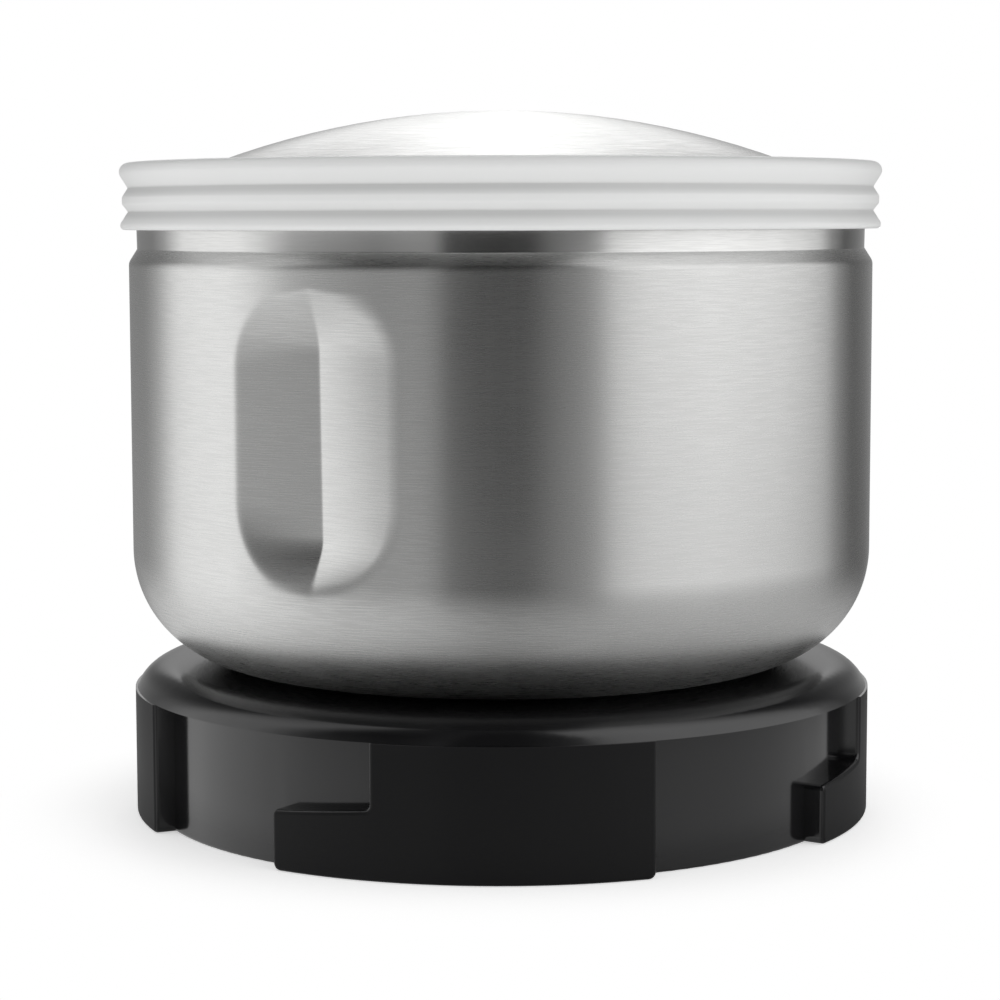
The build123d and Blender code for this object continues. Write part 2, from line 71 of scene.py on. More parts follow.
class SteelSettings(bpy.types.PropertyGroup):
    """Brushed and satin steel."""

    colour: FloatVectorProperty(
        name="Steel colour",
        description="Reflected colour of the bare steel",
        default=(0.66, 0.66, 0.652),
        size=3,
        subtype="COLOR",
        min=0.0,
        max=1.0,
    )
    roughness: FloatProperty(
        name="Brushed roughness",
        description="Blur of reflections on the brushed wall",
        default=0.28,
        min=0.0,
        max=1.0,
        subtype="FACTOR",
    )
    stretch: FloatProperty(
        name="Stretch of highlights",
        description="How far the brushing stretches a highlight across its lines",
        default=0.9,
        min=0.0,
        max=1.0,
        subtype="FACTOR",
    )
    line_length: FloatProperty(
        name="Length of brushed lines",
        description="Usual length of one brushed line round the bowl",
        default=0.0035,
        min=0.0005,
        unit="LENGTH",
    )
    line_width: FloatProperty(
        name="Width of brushed lines",
        description="Usual width of one brushed line",
        default=0.00012,
        min=0.00002,
        unit="LENGTH",
    )


class PlasticSettings(bpy.types.PropertyGroup):
    """Black collar and frosted lid ring."""

    collar_colour: FloatVectorProperty(
        name="Collar colour",
        description="Colour of the black moulded collar",
        default=(0.007, 0.007, 0.0075),
        size=3,
        subtype="COLOR",
        min=0.0,
        max=1.0,
    )
    ring_colour: FloatVectorProperty(
        name="Ring colour",
        description="Colour of the frosted lid ring",
        default=(0.9, 0.905, 0.9),
        size=3,
        subtype="COLOR",
        min=0.0,
        max=1.0,
    )
    gloss_roughness: FloatProperty(
        name="Polished roughness",
        description="Blur of reflections on the collar's polished faces",
        default=0.14,
        min=0.0,
        max=1.0,
        subtype="FACTOR",
    )
    spark_roughness: FloatProperty(
        name="Spark-finished roughness",
        description="Blur of reflections on the textured faces of the lugs",
        default=0.52,
        min=0.0,
        max=1.0,
        subtype="FACTOR",
    )
    ring_columns: IntProperty(
        name="Ring columns", description="Number of columns of faces round the ribbed ring", default=256, min=32
    )


class StageSettings(bpy.types.PropertyGroup):
    """Camera, floor and studio light."""

    distance: FloatProperty(
        name="Camera distance",
        description="Distance from the spindle axis to the camera, along the floor",
        default=0.31946,
        unit="LENGTH",
    )
    height: FloatProperty(
        name="Camera height", description="Height of the camera above the floor", default=0.06895, unit="LENGTH"
    )
    sideways: FloatProperty(
        name="Camera shift",
        description="Distance from the spindle axis to the camera, to the right",
        default=-0.000142,
        precision=6,
        unit="LENGTH",
    )
    pitch: FloatProperty(
        name="Camera pitch",
        description="How far the camera looks down",
        default=math.radians(5.92),
        subtype="ANGLE",
    )
    roll: FloatProperty(
        name="Camera roll",
        description="Turn of the camera about its own line of sight",
        default=math.radians(-0.1326),
        subtype="ANGLE",
    )
    lens: FloatProperty(name="Lens", description="Focal length in millimetres", default=98.19, min=1.0)
    floor_radius: FloatProperty(
        name="Floor radius", description="Radius of the round floor", default=1.2, unit="LENGTH"
    )
    sides: IntProperty(
        name="Floor sides", description="Number of sides of the round floor", default=96, min=16
    )


# Shader trees


def add_node(tree, kind, **settings):
    """New node in a tree. A setting named like a property sets it, and any other sets the socket of that name."""
    node = tree.nodes.new(kind)
    for name, value in settings.items():
        if hasattr(node, name):
            setattr(node, name, value)
        else:
            node.inputs[name.replace("_", " ")].default_value = value
    return node


def math_node(tree, operation, first, second=None, third=None):
    """Output of a Math node whose operands are numbers or sockets."""
    node = add_node(tree, "ShaderNodeMath", operation=operation)
    for socket, operand in zip(node.inputs, (first, second, third)):
        if isinstance(operand, bpy.types.NodeSocket):
            tree.links.new(operand, socket)
        elif operand is not None:
            socket.default_value = operand
    return node.outputs[0]


def product(tree, *factors):
    """Output of the Math nodes that multiply numbers or sockets."""
    total = factors[0]
    for factor in factors[1:]:
        total = math_node(tree, "MULTIPLY", total, factor)
    return total


def map_range(tree, value, low, high, to_low=0.0, to_high=1.0, smooth=True):
    """Output of a Map Range node, clamped at both ends."""
    kind = "SMOOTHSTEP" if smooth else "LINEAR"
    node = add_node(tree, "ShaderNodeMapRange", interpolation_type=kind, clamp=True)
    tree.links.new(value, node.inputs["Value"])
    for name, number in (("From Min", low), ("From Max", high), ("To Min", to_low), ("To Max", to_high)):
        node.inputs[name].default_value = number
    return node.outputs["Result"]


def band(tree, value, rise, fall):
    """Mask that rises from 0 to 1 over one pair of values and falls back to 0 over the next pair."""
    return product(tree, map_range(tree, value, *rise), map_range(tree, value, *fall, 1.0, 0.0))


def new_group(name, inputs, outputs):
    """Empty node group with a vector input, float inputs of given names and defaults, and float outputs."""
    tree = bpy.data.node_groups.new(name, "ShaderNodeTree")
    tree.interface.new_socket("Vector", in_out="INPUT", socket_type="NodeSocketVector")
    for socket_name, default in inputs:
        socket = tree.interface.new_socket(socket_name, in_out="INPUT", socket_type="NodeSocketFloat")
        socket.default_value = default
    for socket_name in outputs:
        tree.interface.new_socket(socket_name, in_out="OUTPUT", socket_type="NodeSocketFloat")
    return tree, tree.nodes.new("NodeGroupInput"), tree.nodes.new("NodeGroupOutput")


def brushed_grain_group():
    """Fine lines left by a belt or wheel: noise that changes slowly along the work and quickly across it.

    The noise point is (x, y, z) / Line Length + (0, 0, Across / Line Width), so lines run at right angles to Across.
    """
    tree, given, out = new_group(
        "brushed_grain", (("Across", 0.0), ("Line Length", 0.006), ("Line Width", 0.00016)), ("Streaks", "Cloud")
    )
    divide = add_node(tree, "ShaderNodeVectorMath", operation="DIVIDE")
    lengths = add_node(tree, "ShaderNodeCombineXYZ")
    tree.links.new(given.outputs["Vector"], divide.inputs[0])
    for axis in "XYZ":
        tree.links.new(given.outputs["Line Length"], lengths.inputs[axis])
    tree.links.new(lengths.outputs[0], divide.inputs[1])
    across = add_node(tree, "ShaderNodeCombineXYZ")
    tree.links.new(math_node(tree, "DIVIDE", given.outputs["Across"], given.outputs["Line Width"]), across.inputs["Z"])
    total = add_node(tree, "ShaderNodeVectorMath", operation="ADD")
    tree.links.new(divide.outputs[0], total.inputs[0])
    tree.links.new(across.outputs[0], total.inputs[1])
    streaks = add_node(tree, "ShaderNodeTexNoise", Scale=1.0, Detail=3.0, Roughness=0.62)
    tree.links.new(total.outputs[0], streaks.inputs["Vector"])
    tree.links.new(streaks.outputs["Fac"], out.inputs["Streaks"])
    cloud = add_node(tree, "ShaderNodeTexNoise", Scale=0.35, Detail=2.0)
    tree.links.new(divide.outputs[0], cloud.inputs["Vector"])
    tree.links.new(cloud.outputs["Fac"], out.inputs["Cloud"])


def moulded_skin_group():
    """Skin of a moulded part: fine spark-eroded pits and a slow, shallow sink of the surface."""
    tree, given, out = new_group("moulded_skin", (("Pit Size", 0.0003), ("Sink Size", 0.012)), ("Pits", "Sink"))
    for size, output, detail in (("Pit Size", "Pits", 2.0), ("Sink Size", "Sink", 1.0)):
        divide = add_node(tree, "ShaderNodeVectorMath", operation="DIVIDE")
        sizes = add_node(tree, "ShaderNodeCombineXYZ")
        for axis in "XYZ":
            tree.links.new(given.outputs[size], sizes.inputs[axis])
        tree.links.new(given.outputs["Vector"], divide.inputs[0])
        tree.links.new(sizes.outputs[0], divide.inputs[1])
        noise = add_node(tree, "ShaderNodeTexNoise", Scale=1.0, Detail=detail)
        tree.links.new(divide.outputs[0], noise.inputs["Vector"])
        tree.links.new(noise.outputs["Fac"], out.inputs[output])


# Values between which the noise of the brushed lines, and of the pits of a skin, mostly lies
LINE_NOISE = (0.3, 0.7)
PIT_NOISE = (0.2, 0.8)

# Brushed lines: shades from dark to light, depth as a share of the width, and changes of the blur
LINE_SHADES = (0.955, 1.03)
LINE_DEPTH = 0.12
LINE_BLUR = 0.02
CLOUD_BLUR = (0.97, 1.03)

# Painted shade under the neck, blur on the neck, painted shade under the ring's valleys, and coat on the collar's top
# and lugs
SHOULDER_PAINTED_SHADE = 0.72
NECK_BLUR = 0.62
VALLEY_PAINTED_SHADE = 0.77
TOP_COAT = 0.22
LUG_COAT = 0.08


class Finish:
    """One material under construction: its tree, its Principled shader and its Object coordinates."""

    def __init__(self, name, colour, metallic, roughness, **sockets):
        self.colour = colour
        self.material = bpy.data.materials.new(name)
        self.material.use_nodes = True
        self.material.diffuse_color = (*colour, 1.0)
        self.tree = self.material.node_tree
        self.shader = self.tree.nodes["Principled BSDF"]
        self.shader.inputs["Base Color"].default_value = (*colour, 1.0)
        self.shader.inputs["Metallic"].default_value = metallic
        self.shader.inputs["Roughness"].default_value = roughness
        for socket, value in sockets.items():
            self.shader.inputs[socket.replace("_", " ")].default_value = value
        self.place = add_node(self.tree, "ShaderNodeTexCoord").outputs["Object"]
        self.parts = add_node(self.tree, "ShaderNodeSeparateXYZ")
        self.tree.links.new(self.place, self.parts.inputs[0])

    def radius(self):
        """Distance from the spindle axis."""
        squares = [math_node(self.tree, "POWER", self.parts.outputs[axis], 2.0) for axis in "XY"]
        return math_node(self.tree, "SQRT", math_node(self.tree, "ADD", *squares))

    def height(self):
        """Height above the floor."""
        return self.parts.outputs["Z"]

    def group(self, name, across=None, **values):
        """Instance of a node group, fed with Object coordinates."""
        node = add_node(self.tree, "ShaderNodeGroup", node_tree=bpy.data.node_groups[name])
        self.tree.links.new(self.place, node.inputs["Vector"])
        if across is not None:
            self.tree.links.new(across, node.inputs["Across"])
        for socket, value in values.items():
            node.inputs[socket.replace("_", " ")].default_value = value
        return node

    def to(self, socket, value):
        """Feeds a value into one of the shader's sockets."""
        self.tree.links.new(value, self.shader.inputs[socket])

    def bump(self, height, strength, distance):
        """Relief from a height pattern, in metres of depth."""
        node = add_node(self.tree, "ShaderNodeBump", Strength=strength, Distance=distance)
        self.tree.links.new(height, node.inputs["Height"])
        self.tree.links.new(node.outputs["Normal"], self.shader.inputs["Normal"])

    def shade(self, pattern, dark, light):
        """Base colour times a factor that runs from one value to another with a pattern."""
        mix = add_node(self.tree, "ShaderNodeMix", data_type="RGBA")
        for socket, factor in (("A", dark), ("B", light)):
            mix.inputs[socket].default_value = (*(min(1.0, channel * factor) for channel in self.colour), 1.0)
        self.tree.links.new(pattern, mix.inputs["Factor"])
        self.tree.links.new(mix.outputs["Result"], self.shader.inputs["Base Color"])

    def paint_shade_under(self, height, rise, fall, factor):
        """Paints shade: multiplies the base colour by a factor in a ring under a height.

        Rise and fall are the pairs of heights between which the ring begins and ends, in millimetres from that height.
        """
        rise, fall = ([height + offset * MM for offset in pair] for pair in (rise, fall))
        mix = add_node(self.tree, "ShaderNodeMix", data_type="RGBA", blend_type="MULTIPLY")
        base = self.shader.inputs["Base Color"]
        self.tree.links.new(base.links[0].from_socket, mix.inputs["A"])
        mix.inputs["B"].default_value = (factor, factor, factor, 1.0)
        self.tree.links.new(band(self.tree, self.height(), rise, fall), mix.inputs["Factor"])
        self.tree.links.new(mix.outputs["Result"], base)

    def sharpen(self, pattern):
        """Multiplies the roughness by a pattern."""
        roughness = self.shader.inputs["Roughness"].links[0].from_socket
        self.to("Roughness", product(self.tree, roughness, pattern))

    def put_on(self, *nodes):
        """Gives the finish to CAD nodes."""
        for name in nodes:
            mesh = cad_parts[name].data
            mesh.materials.clear()
            mesh.materials.append(self.material)


def grooved_steel(name, colour, direction, *, roughness, stretch, line_length, line_width, relief=0.15):
    """Steel brushed along circles: direction is "round" for a turned wall, "flat" for lines at one radius.

    On a wall the lines lie at one height down to the innermost radius of the grips, and from there at one sum of
    height and radius.
    """
    finish = Finish(name, colour, 1.0, roughness, Anisotropic=stretch, Anisotropic_Rotation=0.25)
    tangent = add_node(finish.tree, "ShaderNodeTangent", direction_type="RADIAL", axis="Z")
    finish.to("Tangent", tangent.outputs[0])
    across = finish.radius()
    if direction == "round":
        below_grips = math_node(finish.tree, "MINIMUM", across, GRIP_FLOOR)
        across = math_node(finish.tree, "ADD", finish.height(), below_grips)
    grain = finish.group("brushed_grain", across, Line_Length=line_length, Line_Width=line_width)
    lines = map_range(finish.tree, grain.outputs["Streaks"], *LINE_NOISE)
    finish.shade(lines, *LINE_SHADES)
    finish.bump(grain.outputs["Streaks"], relief, line_width * LINE_DEPTH)
    uneven = map_range(finish.tree, grain.outputs["Cloud"], *LINE_NOISE, *CLOUD_BLUR)
    polish = map_range(finish.tree, lines, 0.0, 1.0, roughness + LINE_BLUR, roughness - LINE_BLUR)
    finish.to("Roughness", product(finish.tree, polish, uneven))
    return finish


# Outlines of the turned pieces, in millimetres: radius, height, round of the corner, steps to the next corner

BOWL_OUTLINE = (
    (8.7, 17.5, 0, 8), (43.0, 17.5, 13.4, 108), (43.0, 63.9, 1.2, 1), (42.05, 65.4, 0.2, 4),
    (42.17, 72.9, 0.32, 1), (41.37, 72.9, 0.32, 4), (41.25, 65.4, 0.5, 1), (42.2, 63.9, 1.2, 64),
    (42.2, 18.3, 12.6, 8), (8.7, 18.3, 0, 1),
)
RING_OUTLINE = (
    (42.7, 67.6, 0, 1), (43.9, 67.6, 0.45, 1), (43.9, 68.3, 0.7, 1), (43.0, 69.65, 0.15, 1),
    (43.68, 70.5, 0.5, 1), (43.68, 71.3, 0.5, 1), (43.0, 72.35, 0.15, 1), (43.97, 73.9, 0.9, 1),
    (43.97, 75.2, 1.05, 6), (33.5, 75.2, 0, 2), (35.0, 72.6, 0, 2), (39.2, 71.8, 0, 1), (39.2, 70.6, 0, 1),
    (40.3, 70.6, 0, 2), (40.6, 73.0, 0, 1), (42.4, 73.0, 0, 4), (42.4, 67.9, 0, 1),
)
ARC_STEP = 0.7  # longest step along a rounded corner, in millimetres
ARC_TURN = math.radians(9)  # largest turn at a point of it
SHARP_ANGLE = math.radians(40)

# Thumb grips, in millimetres and degrees of bearing. Of a pair, the first value is for the left or lower side.
GRIP_BEARINGS = (-27.55, 152.45)  # one for each grip
GRIP_DEPTH = 2.5
GRIP_LEAN = 0.022  # depth lost per millimetre of height
GRIP_WALL_WIDTHS = (13.0, 12.9)
GRIP_WALL_BULGES = (0.33, 0.12)
GRIP_EDGE_WIDTHS = (0.13, 0.25)  # range of depth in which an edge is rounded
GRIP_CREASE_WIDTH = 0.06  # range of depth in which the crease is rounded
GRIP_SIDES_Z = (39.2, 53.2)  # the walls keep their width between these heights
GRIP_END_Z = (29.6, 61.7)
GRIP_CREASE_Z = (34.5, 56.6)  # below and above these heights the crease rises to the ends
GRIP_CREASE_SLOPES = (0.6, 0.42)
GRIP_END_ROUND = 0.7  # range of depth in which the crease turns to its ends
GRIP_THIN_END = 0.3  # least depth of crease that a wall starts from

# Columns of the bowl: at these distances from a crease they stand this far apart, in degrees
COLUMN_DISTANCES = (0.8, 1.6, 15.5, 18.0)
COLUMN_STEPS = (0.15, 0.45, 0.45, 2.0)
COLUMN_TRIALS = 7201  # bearings at which the step is worked out


# Surfaces worked out as whole arrays


def rounded_outline(stations):
    """Closed outline with rounded corners, from stations of radius, height, round and steps to the next corner.

    A corner's arc starts and ends at round / tan(half the angle between its two runs) from the corner. Its centre
    lies at round / sin(half that angle) from the corner, on the line that halves the angle.
    """
    corners = np.array([station[:2] for station in stations], dtype=float)
    ahead = np.roll(corners, -1, axis=0) - corners
    ahead /= np.linalg.norm(ahead, axis=1, keepdims=True)
    behind = -np.roll(ahead, 1, axis=0)
    arcs = []
    for corner, onward, back, station in zip(corners, ahead, behind, stations):
        half = math.acos(np.clip(onward @ back, -1, 1)) / 2
        centre = corner + (onward + back) * station[2] / (2 * math.cos(half) * math.sin(half))
        start = corner + back * station[2] / math.tan(half) - centre
        end = corner + onward * station[2] / math.tan(half) - centre
        sweep = math.pi - 2 * half
        count = math.ceil(max(sweep * station[2] / ARC_STEP, sweep / ARC_TURN)) if station[2] else 0
        part = np.linspace(0, 1, count + 1)[:, None]
        arcs.append(centre + (np.sin((1 - part) * sweep) * start + np.sin(part * sweep) * end) / math.sin(sweep))
    points = []
    for arc, following, station in zip(arcs, arcs[1:] + arcs[:1], stations):
        points += [arc, np.linspace(arc[-1], following[0], station[3] + 1)[1:-1]]
    return np.vstack(points)


def smooth_max(first, second, width):
    """The larger of two values, plus (width - difference)^2 / (4 width) where they differ by less than the width."""
    return np.maximum(first, second) + np.maximum(width - np.abs(first - second), 0) ** 2 / (4 * width)


def grip_depth(bearings, heights):
    """How far the grips press the wall inwards, at bearings in degrees and heights in millimetres.

    The crease grows shallower with height, by the lean, and rises in a straight line to each end. Across a wall the
    depth falls from the crease as (1 - bulge) t + bulge t^2, where t is the bearing from the crease over the width of
    the wall. Towards each end that width narrows as a quarter ellipse. The edges and the crease are rounded by
    smooth_max.
    """
    low = smooth_max(GRIP_CREASE_SLOPES[0] * (GRIP_CREASE_Z[0] - heights), 0, GRIP_END_ROUND)
    high = smooth_max(GRIP_CREASE_SLOPES[1] * (heights - GRIP_CREASE_Z[1]), 0, GRIP_END_ROUND)
    crease = GRIP_DEPTH - low - high - GRIP_LEAN * (heights - GRIP_SIDES_Z[0])
    below = (GRIP_SIDES_Z[0] - heights) / (GRIP_SIDES_Z[0] - GRIP_END_Z[0])
    above = (heights - GRIP_SIDES_Z[1]) / (GRIP_END_Z[1] - GRIP_SIDES_Z[1])
    narrowing = np.sqrt(1 - np.clip(np.maximum(below, above), 0, 0.999) ** 2)
    total = 0
    for bearing in GRIP_BEARINGS:
        turn = (bearings - bearing + 180) % 360 - 180
        falls = []
        for side, width, bulge in zip((-1, 1), GRIP_WALL_WIDTHS, GRIP_WALL_BULGES):
            across = side * turn / (width * narrowing)
            falls.append(np.maximum(crease, GRIP_THIN_END) * ((1 - bulge) * across + bulge * across * np.abs(across)))
        edge = np.interp(turn, (-GRIP_WALL_WIDTHS[0], GRIP_WALL_WIDTHS[1]), GRIP_EDGE_WIDTHS)
        total = total + smooth_max(crease - smooth_max(*falls, GRIP_CREASE_WIDTH), 0, edge)
    return total


def bearings_for_grips():
    """Bearings of the columns, in degrees: close together across each grip, and closest at its crease.

    They stand where the running sum of 1 / step, taken round the bowl, reaches equal parts of its total.
    """
    every = np.linspace(-180, 180, COLUMN_TRIALS)
    nearest = np.min([np.abs((every - bearing + 180) % 360 - 180) for bearing in GRIP_BEARINGS], axis=0)
    steps = np.interp(nearest, COLUMN_DISTANCES, COLUMN_STEPS)
    reached = np.concatenate(([0], np.cumsum((every[1] - every[0]) / steps[:-1])))
    count = round(reached[-1])
    return np.interp(np.arange(count) * reached[-1] / count, reached, every)


def turned_mesh(name, outline, bearings, pressed=None):
    """Closed surface of an outline turned round the spindle axis, in metres.

    An outline point at radius r and height z goes, at bearing b, to (r sin b, -r cos b, z). Where a function for the
    pressed depth is given, r is less by that depth.
    """
    radii, heights = outline[:, :1], outline[:, 1:]
    if pressed is not None:
        radii = radii - pressed(bearings[None, :], heights)
    angles = np.radians(bearings)[None, :]
    places = np.broadcast_arrays(radii * np.sin(angles), -radii * np.cos(angles), heights)
    points = np.stack(places, axis=-1).reshape(-1, 3) * MM
    rows, columns = len(outline), len(bearings)
    row, column = np.meshgrid(np.arange(rows), np.arange(columns), indexing="ij")
    next_row, next_column = (row + 1) % rows, (column + 1) % columns
    corners = ((row, column), (row, next_column), (next_row, next_column), (next_row, column))
    faces = np.stack([a * columns + b for a, b in corners], axis=-1).reshape(-1, 4)
    mesh = bpy.data.meshes.new(name)
    mesh.from_pydata(points.tolist(), [], faces.tolist())
    mesh.shade_smooth()
    mesh.set_sharp_from_angle(angle=SHARP_ANGLE)
    return mesh


def new_piece(mesh, body, finish, slot, *nodes):
    """Object of a new mesh that rides on a body, wears the finish given and stands in for CAD nodes, which it hides.
    The slot argument is not used.
    """
    piece = bpy.data.objects.new(mesh.name, mesh)
    bpy.context.scene.collection.objects.link(piece)
    mesh.materials.append(finish.material)
    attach(piece, body)
    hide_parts(*nodes)


# Operators: one for each group of like pieces, and one for the stage


class GRINDER_OT_shared_groups(bpy.types.Operator):
    """Build the patterns that several finishes share"""

    bl_idname = "grinder.shared_groups"
    bl_label = "Shared Patterns"

    def execute(self, context):
        brushed_grain_group()
        moulded_skin_group()
        return {"FINISHED"}


class GRINDER_OT_bowl(bpy.types.Operator):
    """Make the drawn bowl with its pressed grips, and brush it"""

    bl_idname = "grinder.bowl"
    bl_label = "Steel Bowl"

    def execute(self, context):
        steel = context.scene.grinder_steel
        finish = grooved_steel(
            "drawn_steel",
            tuple(steel.colour),
            "round",
            roughness=steel.roughness,
            stretch=steel.stretch,
            line_length=steel.line_length,
            line_width=steel.line_width,
        )
        neck = (NECK_FOOT - 0.3 * MM, NECK_FOOT + 0.1 * MM)
        finish.sharpen(map_range(finish.tree, finish.height(), *neck, 1.0, NECK_BLUR))
        # Painted shade: a darker band of base colour just under the neck's foot stands in for the shoulder's shade
        finish.paint_shade_under(NECK_FOOT, rise=(-2.2, -1.2), fall=(-0.2, 0.1), factor=SHOULDER_PAINTED_SHADE)
        mesh = turned_mesh("drawn_bowl", rounded_outline(BOWL_OUTLINE), bearings_for_grips(), grip_depth)
        new_piece(mesh, "bowl", finish, "drawn_steel", "bowl_shell")
        return {"FINISHED"}


class GRINDER_OT_collar(bpy.types.Operator):
    """Finish the black collar: polished between the lugs, spark-eroded on the lugs' faces"""

    bl_idname = "grinder.collar"
    bl_label = "Collar"

    def execute(self, context):
        plastic = context.scene.grinder_plastic
        finish = Finish(
            "collar_plastic",
            tuple(plastic.collar_colour),
            metallic=0.0,
            roughness=0.5,
            Specular_IOR_Level=0.12,
            Coat_IOR=1.5,
            Coat_Roughness=0.12,
        )
        tree = finish.tree
        outside = map_range(tree, finish.radius(), *LUG_FACES)
        below_flange = map_range(tree, finish.height(), *FLANGE_FOOT)
        lug_face = product(tree, outside, below_flange)
        blur = map_range(tree, lug_face, 0.0, 1.0, plastic.gloss_roughness, plastic.spark_roughness)
        finish.to("Roughness", blur)
        top_coat = map_range(tree, finish.height(), *COLLAR_TOP, 1.0, TOP_COAT)
        lug_coat = map_range(tree, lug_face, 0.0, 1.0, 1.0, LUG_COAT)
        finish.to("Coat Weight", product(tree, top_coat, lug_coat))
        skin = finish.group("moulded_skin", Pit_Size=0.00022, Sink_Size=0.011)
        finish.shade(skin.outputs["Sink"], dark=0.88, light=1.12)
        pits = product(tree, skin.outputs["Pits"], lug_face)
        relief = math_node(tree, "MULTIPLY_ADD", skin.outputs["Sink"], 0.6, pits)
        finish.bump(relief, strength=0.35, distance=0.00003)
        finish.put_on("base_collar")
        return {"FINISHED"}


class GRINDER_OT_lid(bpy.types.Operator):
    """Make the frosted ribbed ring of the lid, and finish the satin dome"""

    bl_idname = "grinder.lid"
    bl_label = "Lid"

    def execute(self, context):
        steel = context.scene.grinder_steel
        plastic = context.scene.grinder_plastic
        colour = tuple(plastic.ring_colour)
        ring = Finish(
            "frosted_plastic", colour, metallic=0.0, roughness=0.38, IOR=1.49, Transmission_Weight=0.15
        )
        skin = ring.group("moulded_skin", Pit_Size=0.0004, Sink_Size=0.009)
        ring.shade(skin.outputs["Sink"], dark=0.985, light=1.01)
        # Painted shade: the base colour is darkened in a band just under each valley, on the rib's upward-facing flank
        for valley in RING_VALLEYS:
            ring.paint_shade_under(valley, rise=(-1.2, -0.3), fall=(-0.1, 0.25), factor=VALLEY_PAINTED_SHADE)
        relief = math_node(ring.tree, "ADD", skin.outputs["Pits"], skin.outputs["Sink"])
        ring.bump(relief, strength=0.25, distance=0.00002)
        columns = np.linspace(-180, 180, plastic.ring_columns, endpoint=False)
        mesh = turned_mesh("frosted_ring", rounded_outline(RING_OUTLINE), columns)
        new_piece(mesh, "lid", ring, "frosted_plastic", "lid_ring")
        dome = grooved_steel(
            "dome_steel",
            tuple(steel.colour),
            "flat",
            roughness=0.26,
            stretch=0.92,
            line_length=0.004,
            line_width=0.00014,
            relief=0.03,
        )
        dome.put_on("lid_dome")
        return {"FINISHED"}


class GRINDER_OT_running_gear(bpy.types.Operator):
    """Finish the blade, the spindle, its bearings and the coupling"""

    bl_idname = "grinder.running_gear"
    bl_label = "Running Gear"

    def execute(self, context):
        colour = tuple(context.scene.grinder_steel.colour)
        turned = grooved_steel(
            "turned_steel", colour, "round", roughness=0.27, stretch=0.5, line_length=0.02, line_width=0.00025
        )
        turned.put_on("drive_shaft", "bearing_housing", "clamp_nut", "weld_bosses")
        colour = (0.66, 0.66, 0.65)
        ground = grooved_steel(
            "blade_steel", colour, "flat", roughness=0.22, stretch=0.3, line_length=0.01, line_width=0.0003
        )
        ground.put_on("blade", "blade_spacer", "lock_washer")
        polished = Finish("polished_nut", (0.68, 0.68, 0.67), metallic=1.0, roughness=0.12)
        skin = polished.group("moulded_skin", Pit_Size=0.0006, Sink_Size=0.004)
        polished.shade(skin.outputs["Sink"], dark=0.94, light=1.04)
        polished.to("Roughness", map_range(polished.tree, skin.outputs["Pits"], *PIT_NOISE, 0.09, 0.17))
        polished.put_on("acorn_nut")
        self.small_parts()
        return {"FINISHED"}

    def small_parts(self):
        """Zinc, bronze, brass, rubber and plastic of the small parts: name, colour, metallic, roughness and nodes."""
        finishes = (
            ("zinc_steel", (0.58, 0.585, 0.6), 1.0, 0.32, ("collar_screws", "retaining_clip")),
            ("bush_bronze", (0.42, 0.27, 0.13), 1.0, 0.45, ("lower_bush", "upper_bush")),
            ("insert_brass", (0.66, 0.5, 0.22), 1.0, 0.3, ("dog_insert",)),
            ("seal_rubber", (0.02, 0.02, 0.02), 0.0, 0.7, ("base_gasket", "housing_gasket", "shaft_seal")),
            ("washer_plastic", (0.72, 0.7, 0.63), 0.0, 0.5, ("thrust_washer",)),
            ("dog_plastic", (0.013, 0.013, 0.014), 0.0, 0.38, ("drive_dog",)),
        )
        for name, colour, metallic, roughness, nodes in finishes:
            finish = Finish(name, colour, metallic, roughness)
            skin = finish.group("moulded_skin", Pit_Size=0.00025, Sink_Size=0.005)
            finish.shade(skin.outputs["Sink"], dark=0.9, light=1.1)
            blur = (roughness - 0.06, roughness + 0.06)
            finish.to("Roughness", map_range(finish.tree, skin.outputs["Pits"], *PIT_NOISE, *blur))
            finish.bump(skin.outputs["Pits"], strength=0.3, distance=0.00002)
            finish.put_on(*nodes)


# Stage

# Studio as polished faces see it: brightness by bearing in degrees, 0 behind the camera and positive to the right.
# A white wall stands behind the object and a soft box at each side. Between them hang black and grey cards.
# After the table come its peak, and the brightness of the top, of the pale back and of the white wall.
STUDIO = (
    (-180, 0.4), (-173, 0.4), (-169, 0.4), (-164, 0.24), (-139, 0.23), (-129, 0.4), (-122, 0.72), (-116, 1.02),
    (-104, 1.12), (-88, 1.14), (-79, 0.9), (-66, 0.44), (-55, 0.32), (-38, 0.23), (-27, 0.3), (-20, 0.3),
    (-16, 0.04), (0, 0.02), (9, 0.04), (15, 0.16), (26, 0.36), (30, 0.58), (34, 1.1), (44, 1.42), (66, 1.58),
    (92, 1.38), (106, 1.12), (116, 0.88), (124, 0.36), (135, 0.12), (164, 0.3), (173, 0.4),
)
STUDIO_PEAK = 1.6
STUDIO_TOP = 0.08
STUDIO_BACK = 0.6
STUDIO_WALL = 2.0

# Ends of the studio's blends. Bearings are taken to either side, in radians. Heights, sides and fronts are the parts of
# a ray's direction that point up, to the right and to the camera's side.
BACK_BEARINGS = (math.radians(160), math.radians(168))
WALL_BEARINGS = (math.radians(163), math.radians(171))
DIMMING_HEIGHTS = (0.3, 0.85)
BACK_HEIGHTS = ((0.06, 0.22), (0.8, 0.92))
WALL_HEIGHTS = (0.18, 0.4)
TOP_HEIGHTS = (0.93, 1.0)
TABLE_HEIGHTS = (0.0, -0.45)
TABLE_SHADE_HEIGHTS = (-0.35, -0.9)
LEFT_SIDES, LEFT_FRONTS, LEFT_HEIGHTS = (-0.2, -0.5), (0.0, 0.35), (0.02, -0.12)
RIGHT_SIDES, RIGHT_HEIGHTS = (0.1, 0.5), (0.02, -0.2)
SOFT_HEIGHTS = (-0.05, 0.45)

